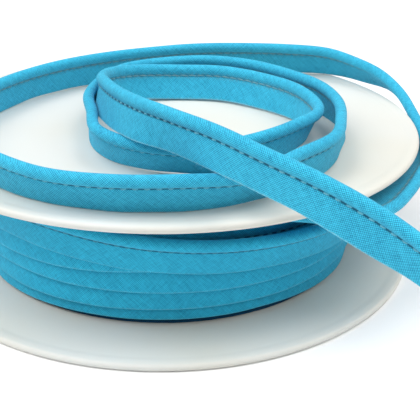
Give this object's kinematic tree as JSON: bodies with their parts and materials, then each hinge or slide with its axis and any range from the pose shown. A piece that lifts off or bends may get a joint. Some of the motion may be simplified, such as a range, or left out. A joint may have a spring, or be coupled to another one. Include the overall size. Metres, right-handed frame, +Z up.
{
  "type": "roll of corded piping on a flanged reel",
  "caption": "Corded fabric piping wound on a two-flanged plastic reel, with a long loose end coiled on top and trailing past the rim.",
  "frame": {"origin": "centre of the lower flange's underside", "axes": "+Z up along the reel's axis, the free end of the piping leaves towards -Y and +X"},
  "size_m": [0.1549, 0.1803, 0.0619],
  "materials": {
    "reel_plastic": "smooth glossy white moulding",
    "piping_cloth": "turquoise plain-weave cotton cut on the bias, stitched along the cord"
  },
  "bodies": {
    "root": {"reel_lower_half": "reel_plastic", "reel_upper_half": "reel_plastic", "wound_piping": "piping_cloth", "loose_piping": "piping_cloth"}
  },
  "joints": []
}
